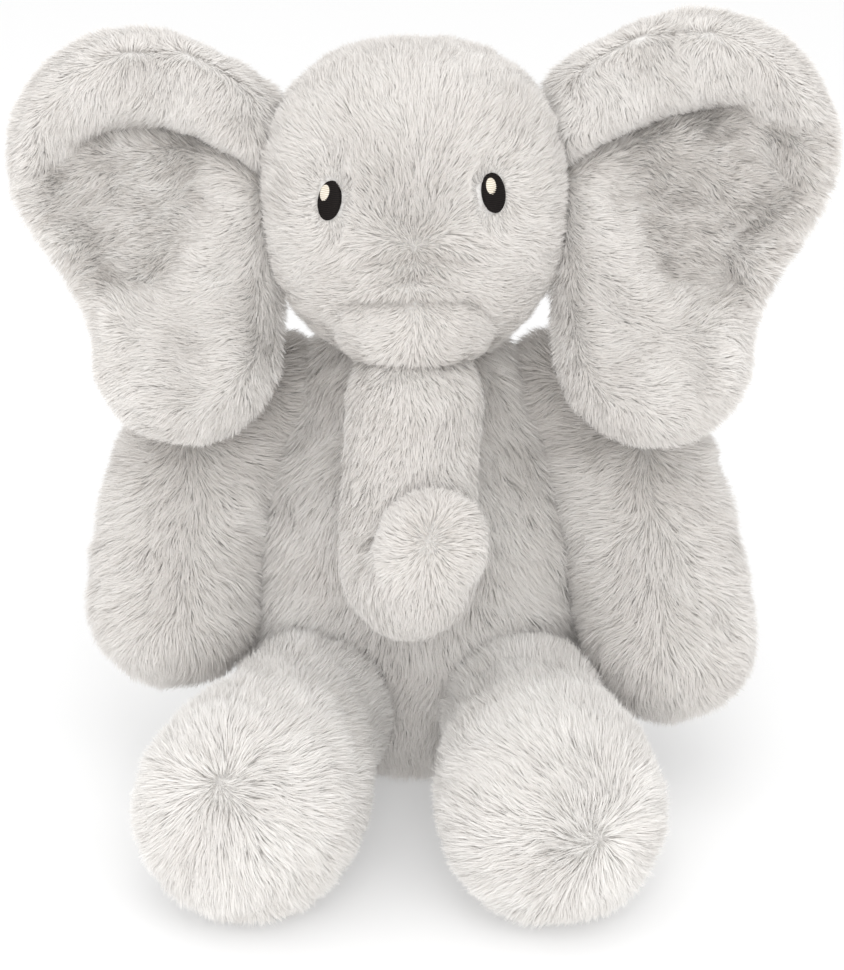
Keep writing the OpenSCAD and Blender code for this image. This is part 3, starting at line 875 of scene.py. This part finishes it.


# %% [markdown]
# ## Pile of the ears
# The pile falls over the fold from the padded top and runs outwards below it. Its tone carries painted shade,
# darkest in the fold and lighter in the dish, and it is mottled in the dish, where it stands straighter and its
# roots show. The front and back cloth each have their own pile, and a root belongs to the one that its normal
# faces.

# %% Both ears
# Painted shade in the dish of each ear, deeper on the left.
DISH_SHADE = {"right": 0.03, "left": 0.09}
for k, (side, sign) in enumerate(SIDES.items()):
    ear_skin = ear_grid(side)
    hinge = joint_at[f"ear_flap_{side}"]
    add_skin(f"ear_skin_{side}", ear_skin, f"ear_{side}",
             f"ear_front_{side}", f"ear_back_{side}", f"ear_fill_{side}")

    def ear_plane(p, hinge=hinge, sign=sign):
        """s outwards and h upwards, in millimetres."""
        v = (p - hinge) / MM
        return v[..., 0] * sign, v @ EAR_UP

    def ear_comb(p, n, side=side, sign=sign, plane=ear_plane):
        """Down over the fold from the padded top, outwards and down below it, and backwards over the edges."""
        s, h = plane(p)
        above, _, _ = ear_parts(side, s, h)
        rim = smooth(above / 10) * smooth((90 - s) / 30)
        out = (0.9 - 0.7 * rim) * smooth((n @ EAR_FORWARD) * 4 + 1)
        flow = np.stack([sign * out, 0 * s, -0.35 - 0.65 * rim - 0.35 * smooth((s - 50) / 40)], -1)
        return flow - 0.8 * EAR_FORWARD

    def ear_tone(p, n, side=side, plane=ear_plane):
        """Painted shade, darker in the dish and darkest in the fold; pale on the rim, the lobe and the back."""
        s, h = plane(p)
        above, reach, into = ear_parts(side, s, h)
        front = smooth((n @ EAR_FORWARD) * 2)
        # Painted shade along the fold, under the padded top.
        shade = 0.58 * bell(np.minimum(above + 1, 0) / 7 + np.maximum(above + 1, 0) / 2.2, 1.0) * reach
        mottle = 0.12 * noise(p, 4 * MM, 7) + 0.05 * noise(p, 12 * MM, 8)
        # The dish gets painted shade, deeper on the left ear, with a random mottle.
        return 0.70 - front * (shade + into * (DISH_SHADE[side] + mottle))

    def ear_lift(p, n, side=side, plane=ear_plane):
        """The pile stands up straighter in the dish, so that its roots show."""
        s, h = plane(p)
        return 36 + 20 * ear_parts(side, s, h)[2] * smooth((n @ EAR_FORWARD) * 4)

    def on_front(p, n):
        """1 where a skin faces forwards or edgewise, else 0."""
        return 1.0 * ((n @ EAR_FORWARD) > -0.12)

    def on_back(p, n):
        """1 where a skin faces backwards, else 0."""
        return 1.0 - on_front(p, n)

    add_pile(f"ear_{side}", f"ear_pile_front_{side}", ear_skin, 76000, 41 + 10 * k, ear_comb, even(7.0 * MM),
             ear_tone, weight=on_front, lift=ear_lift)
    add_pile(f"ear_{side}", f"ear_pile_back_{side}", ear_skin, 32000, 43 + 10 * k, ear_comb, even(7.0 * MM),
             ear_tone, weight=on_back, lift=34, width=0.5)

# %% [markdown]
# ## Body
# The body is a pear of stuffing, widest low down so that it sits, with a flat seat. A lathe would make it too
# regular, so its rings follow an outline with its own width and depth, evened by a running mean, and a slow
# noise swells and sinks them as stuffing does.

# %% Skin of the body
body_low, body_high, body_middle = box_of("belly_panel", "back_panel_right", "back_panel_left")
body_half = (body_high - body_low) / 2
# Each row: share of the height, and shares of the half width and half depth
BODY_OUTLINE = np.array([
    [0.0, 0.52, 0.60], [0.012, 0.66, 0.74], [0.04, 0.82, 0.86], [0.12, 0.96, 0.97], [0.24, 1.03, 1.02],
    [0.38, 1.03, 1.02], [0.52, 0.97, 0.95], [0.66, 0.84, 0.84], [0.78, 0.70, 0.70], [0.87, 0.60, 0.60],
    [0.95, 0.48, 0.50], [1.0, 0.34, 0.38],
])


def evened_outline(t, column, fine_steps=400, reach=12):
    """A column of the outline at heights t, after a running mean over reach fine steps to each side."""
    fine = np.linspace(0, 1, fine_steps)
    values = np.pad(np.interp(fine, BODY_OUTLINE[:, 0], BODY_OUTLINE[:, column]), reach, "edge")
    window = 2 * reach + 1
    return np.interp(t, fine, np.convolve(values, np.ones(window) / window, "valid"))[:, None]


def body_grid(rows=80, turns=90):
    """Rings of half width and half depth from the evened outline, swollen by 1.6 mm times a slow noise."""
    t = np.linspace(0, 1, rows)
    a = np.linspace(0, 2 * np.pi, turns, endpoint=False)[None]
    x = body_middle[0] + body_half[0] * evened_outline(t, 1) * np.cos(a)
    y = body_middle[1] + body_half[1] * evened_outline(t, 2) * np.sin(a)
    z = (body_low[2] + 1.5 * MM) + (body_high[2] - body_low[2]) * t[:, None] + 0 * a
    grid = np.stack([x, y, z], -1)
    swell = 1.6 * MM * noise(grid, 60 * MM, 5)[..., None]
    return grid + unit(grid - body_middle) * swell * smooth(t / 0.1)[:, None, None]


body_skin = body_grid()
body_skin[..., 2] = np.maximum(body_skin[..., 2], 0.6 * MM)
add_skin("body_skin", body_skin, "torso", "belly_panel", "back_panel_right", "back_panel_left", "seat_panel",
         "body_fill")


# %% Pile of the body


def body_comb(p, n):
    """Down, spreading a little from the middle line of the belly."""
    return np.stack([0.35 * p[:, 0] / body_half[0], 0 * p[:, 0], -np.ones(len(p))], -1)


def body_tone(p, n):
    """A little darker high on the chest, where the head shades it."""
    return 0.74 - 0.10 * smooth((p[:, 2] - 110 * MM) / (50 * MM))


add_pile("torso", "body_pile_front", body_skin, 86000, 61, body_comb, even(10.5 * MM), body_tone,
         weight=lambda p, n: 1.0 * (p[..., 1] < body_middle[1]), tuft=4.0)
add_pile("torso", "body_pile_back", body_skin, 48000, 63, body_comb, even(10.5 * MM), body_tone,
         weight=lambda p, n: 1.0 * (p[..., 1] >= body_middle[1]), tuft=4.0, width=0.5)

# %% [markdown]
# ## Arms
# Each arm is a wide stuffed tube, gathered where it is sewn in at the shoulder, with a round paw. It is the
# same kind of grid as the trunk, wider at its lower end, and its paw's place comes from the plain arm's box.
# The two arms hang a little differently, as they do on a toy that was set down.

# %% Arms
PAW_HALF = 32 * MM


def arm_radius(s):
    """Radius along the arm: 21 mm at the shoulder, 29.5 mm from its middle on."""
    return (21 + 8.5 * smooth(s / 0.5)) * MM


for k, (side, sign) in enumerate(SIDES.items()):
    shoulder = joint_at[f"arm_swing_{side}"]
    arm_low, arm_high, _ = box_of(f"arm_front_{side}", f"arm_back_{side}")
    outer = arm_low[0] if side == "right" else arm_high[0]
    paw = np.array([outer - sign * PAW_HALF, arm_low[1] + PAW_HALF, arm_low[2] + PAW_HALF])
    elbow = np.array([shoulder[0] + sign * 34 * MM, shoulder[1] - 6 * MM, shoulder[2] - 14 * MM])

    arm_skin = tube([shoulder, elbow, paw], arm_radius, (0, 1, 0), 60, 64)
    add_skin(f"arm_skin_{side}", arm_skin, f"arm_{side}",
             f"arm_front_{side}", f"arm_back_{side}", f"arm_fill_{side}")
    whorl = paw + np.array([-7 * sign, -24, 6]) * MM
    flow = unit(paw - elbow)

    def arm_comb(p, n, whorl=whorl, flow=flow):
        """Down, and to both sides of the whorl on the front of the paw."""
        away = p - whorl
        fall = 12 * MM + 0.8 * np.maximum(-away[:, 2], 0)
        return np.stack([away[:, 0], 0.6 * away[:, 1], -fall], -1) + flow * 6 * MM

    def arm_tone(p, n, shoulder=shoulder):
        """Painted shade at the shoulder, under the ear."""
        return 0.68 - 0.16 * smooth((p[:, 2] - shoulder[2] + 30 * MM) / (30 * MM))

    add_pile(f"arm_{side}", f"arm_pile_{side}", arm_skin, 75000, 71 + 10 * k, arm_comb, even(10.5 * MM), arm_tone,
             tuft=4.0)

# %% [markdown]
# ## Legs and feet
# A short wide leg runs forward into a foot like a ball. Pile on a ball has to part somewhere, and here it runs
# away from a whorl on the foot. The whorls sit in different places, since the feet turn outwards by different
# amounts. The skin is again a tube of rings, with more rings in the ball of the foot.

# %% Legs
FOOT_SHIFT = {"right": -1 * MM, "left": 3 * MM}
FOOT_WHORL = {"right": np.array([-8, -26, 26]) * MM, "left": np.array([15, -33, 8]) * MM}

for k, (side, sign) in enumerate(SIDES.items()):
    hip = joint_at[f"leg_swing_{side}"]
    leg_low, leg_high, _ = box_of(f"leg_top_{side}", f"leg_under_{side}", f"foot_sole_{side}")
    foot_half = (leg_high[2] - leg_low[2]) / 2
    outer = leg_low[0] if side == "right" else leg_high[0]
    foot = np.array([outer - sign * foot_half, leg_low[1] + foot_half, foot_half])
    foot[0] = foot[0] + FOOT_SHIFT[side]
    start = hip + unit(hip - foot) * 10 * MM

    def leg_radius(s, foot_half=foot_half):
        """Radius along the leg: 27 mm at the hip, widening smoothly to the foot."""
        return 27 * MM + (foot_half - 28 * MM) * smooth((s - 0.1) / 0.75)

    leg_skin = tube([start, foot + [0, 0, 0.8 * MM]], leg_radius, (0, 0, 1), 50, 72, end_rows=16)
    add_skin(f"leg_skin_{side}", leg_skin, f"leg_{side}",
             f"leg_top_{side}", f"leg_under_{side}", f"foot_sole_{side}", f"leg_fill_{side}")
    whorl = foot + FOOT_WHORL[side]

    def leg_comb(p, n, whorl=whorl):
        """Away from the whorl, over the whole foot and on up the leg."""
        return unit(p - whorl)

    def leg_tone(p, n, whorl=whorl):
        """Paler at the whorl, where only tips are seen: painted light."""
        return 0.82 + 0.10 * near_to(p, whorl, 12 * MM)

    def leg_lift(p, n, whorl=whorl):
        """Steeper at the whorl, so that the parting stays closed."""
        return 40 + 16 * near_to(p, whorl, 9 * MM)

    add_pile(f"leg_{side}", f"leg_pile_{side}", leg_skin, 86000, 91 + 10 * k, leg_comb, even(11.0 * MM), leg_tone,
             lift=leg_lift, tuft=3.6)

# %% [markdown]
# ## Tail
# The tail is a short cord of stuffed cloth with a tuft of longer pile at its end. A separate tuft would need
# its own shape, so one thin tube carries both, and the pile grows longer near its end.

# %% Tail
tail_root = joint_at["tail_wag"]
_, _, tuft_middle = box_of("tail_tuft")
tail_path = [tail_root + [0, -6 * MM, 4 * MM], (tail_root + tuft_middle) / 2 + [0, 0, -3 * MM], tuft_middle]
tail_skin = tube(tail_path, lambda s: (4.2 - 0.8 * s) * MM, (1, 0, 0), 40, 32, end_rows=8)
add_skin("tail_skin", tail_skin, "tail", "tail_cord", "tail_tuft")


def tail_comb(p, n):
    """Straight towards the tuft."""
    return np.broadcast_to(unit(tuft_middle - tail_root), p.shape)


def tail_length(p, n):
    """5.5 mm down the cord, growing to 14.5 mm within 12 mm of the tuft's middle."""
    end = smooth(1 - np.linalg.norm(p - tuft_middle, axis=-1) / (12 * MM))
    return (5.5 + 9 * end) * MM


add_pile("tail", "tail_pile", tail_skin, 6000, 111, tail_comb, tail_length, even(0.6), lift=30, tuft=2.5)

# %% [markdown]
# ## Seams and roots
# Six of the plain parts are good enough to keep as they are: the neck's closing stitches, the stitched crease
# over the muzzle, and the gathered roots of the limbs. They are almost buried in the pile, so they only need a
# finish.

# %% Finishes of the kept parts
ROOTS = [f"{part}_root_tab_{side}" for part in ("arm", "leg") for side in SIDES]
for finish, nodes in ((seam_thread, ["neck_seam", "crease_stitch"]), (cloth_finish, ROOTS)):
    for node in nodes:
        materials = frame["nodes"][node].data.materials
        materials.clear()
        materials.append(finish)
    print(finish.name, "on", nodes)

# %% [markdown]
# ## Room, lights and camera
# The toy sits on a pale floor in a white room. The world gives most of the light, so shadows stay soft; the
# floor glows a little, because a real pale floor throws light back under the toy. Three large square lamps
# shape it: one in front, above and to its left, one overhead, and one straight in front. The view transform is
# Standard, so that a pale grey stays the grey that it is given.

# %% Room
FLOOR_SIZE = 8
scene = bpy.context.scene
scene.view_settings.view_transform = "Standard"
bpy.ops.mesh.primitive_plane_add(size=FLOOR_SIZE, location=(0, 0, 0))
floor = bpy.context.object
floor.name = "floor"
paint, _, _, _ = new_finish("floor paint", {
    "Base Color": (0.60, 0.60, 0.60, 1), "Roughness": 0.9,
    "Emission Color": (1, 1, 1, 1), "Emission Strength": 0.30,
})
floor.data.materials.append(paint)

world = bpy.data.worlds.new("studio")
world.use_nodes = True
sky = world.node_tree.nodes["Background"]
sky.inputs["Color"].default_value = (1, 1, 1, 1)
sky.inputs["Strength"].default_value = 1.0
scene.world = world

# %% Lamps
MIDDLE = (0, 0, 0.12)


def soft_light(name, place, size, power):
    """A square soft light at a place, turned towards the toy's middle.

    A lamp shines along its own -Z, so its Z axis is the unit vector from the aim to the lamp, and its X and Y axes
    are cross products with it.
    """
    data = bpy.data.lights.new(name, "AREA")
    data.size = size
    data.energy = power
    obj = bpy.data.objects.new(name, data)
    scene.collection.objects.link(obj)
    obj.location = place
    back = unit(np.array(place, float) - np.array(MIDDLE, float))
    side = unit(np.cross([0, 0, 1.0], back))
    up = np.cross(back, side)
    turn = np.eye(4)
    turn[:3, 0], turn[:3, 1], turn[:3, 2], turn[:3, 3] = side, up, back, place
    obj.matrix_world = Matrix(turn.tolist())
    print(name, "lamp", size, "m wide,", power, "W")


soft_light("key", (0.35, -1.3, 1.6), 1.2, 8)
soft_light("top", (-0.2, -0.2, 1.9), 1.4, 5)
soft_light("front", (-0.2, -2.0, 0.6), 1.3, 24)

# %% Camera
EYE_POINT = (0.003, -1.030, 0.530)
LOOK_DOWN = 22
camera_data = bpy.data.cameras.new("camera")
camera_data.lens = 102.06
camera_data.sensor_width = 36
camera = bpy.data.objects.new("camera", camera_data)
scene.collection.objects.link(camera)
camera.location = EYE_POINT
camera.rotation_euler = (math.radians(90 - LOOK_DOWN), 0, 0)
scene.camera = camera
print("camera", camera_data.lens, "mm, looking down", LOOK_DOWN, "degrees")
